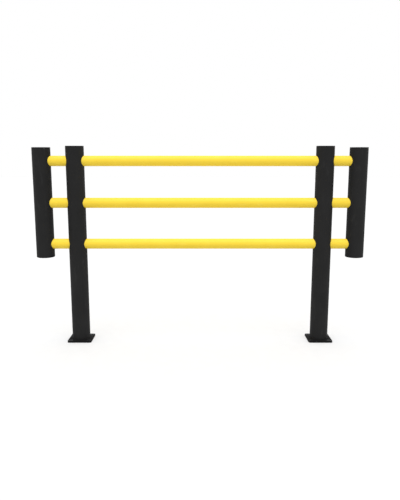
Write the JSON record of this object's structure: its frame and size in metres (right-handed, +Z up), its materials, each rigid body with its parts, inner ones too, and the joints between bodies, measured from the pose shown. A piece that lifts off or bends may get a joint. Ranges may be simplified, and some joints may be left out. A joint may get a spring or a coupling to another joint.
{
  "type": "pedestrian guard rail barrier",
  "caption": "Floor-fixed guard rail: round black polymer posts on square steel plates, with round yellow rails that pass through them into short hanging end posts.",
  "frame": {"origin": "on the floor, midway between the two floor posts, under the rails' axes", "axes": "+X along the rails, +Y from the front to the back where the pins are, +Z up"},
  "size_m": [1.838, 0.135, 1.1],
  "materials": {
    "post_polymer": "black through-coloured polymer tube with a fine satin skin",
    "cap_polymer": "black injection-moulded polymer, finely spark-textured",
    "rail_polymer": "signal yellow through-coloured extruded polymer, satin gloss",
    "pin_polymer": "black moulded polymer",
    "plate_steel": "black powder coat on mild steel",
    "spigot_steel": "galvanised steel tube",
    "weld_metal": "zinc-sprayed fillet weld",
    "screw_steel": "black zinc-flake coated steel"
  },
  "bodies": {
    "root": {"rail_top": "rail_polymer", "rail_middle": "rail_polymer", "rail_bottom": "rail_polymer", "floor_post_left": "post_polymer", "floor_post_cap_left": "cap_polymer", "end_post_left": "post_polymer", "end_post_top_cap_left": "cap_polymer", "end_post_bottom_cap_left": "cap_polymer", "floor_post_pin_left_top": "pin_polymer", "end_post_pin_left_top": "pin_polymer", "floor_post_pin_left_middle": "pin_polymer", "end_post_pin_left_middle": "pin_polymer", "floor_post_pin_left_bottom": "pin_polymer", "end_post_pin_left_bottom": "pin_polymer", "base_plate_left": "plate_steel", "foot_spigot_left": "spigot_steel", "spigot_weld_left": "weld_metal", "foot_screw_left_1": "screw_steel", "foot_screw_left_2": "screw_steel", "anchor_screw_left_1": "screw_steel", "anchor_screw_left_2": "screw_steel", "anchor_screw_left_3": "screw_steel", "anchor_screw_left_4": "screw_steel", "floor_post_right": "post_polymer", "floor_post_cap_right": "cap_polymer", "end_post_right": "post_polymer", "end_post_top_cap_right": "cap_polymer", "end_post_bottom_cap_right": "cap_polymer", "floor_post_pin_right_top": "pin_polymer", "end_post_pin_right_top": "pin_polymer", "floor_post_pin_right_middle": "pin_polymer", "end_post_pin_right_middle": "pin_polymer", "floor_post_pin_right_bottom": "pin_polymer", "end_post_pin_right_bottom": "pin_polymer", "base_plate_right": "plate_steel", "foot_spigot_right": "spigot_steel", "spigot_weld_right": "weld_metal", "foot_screw_right_1": "screw_steel", "foot_screw_right_2": "screw_steel", "anchor_screw_right_1": "screw_steel", "anchor_screw_right_2": "screw_steel", "anchor_screw_right_3": "screw_steel", "anchor_screw_right_4": "screw_steel"}
  },
  "joints": []
}
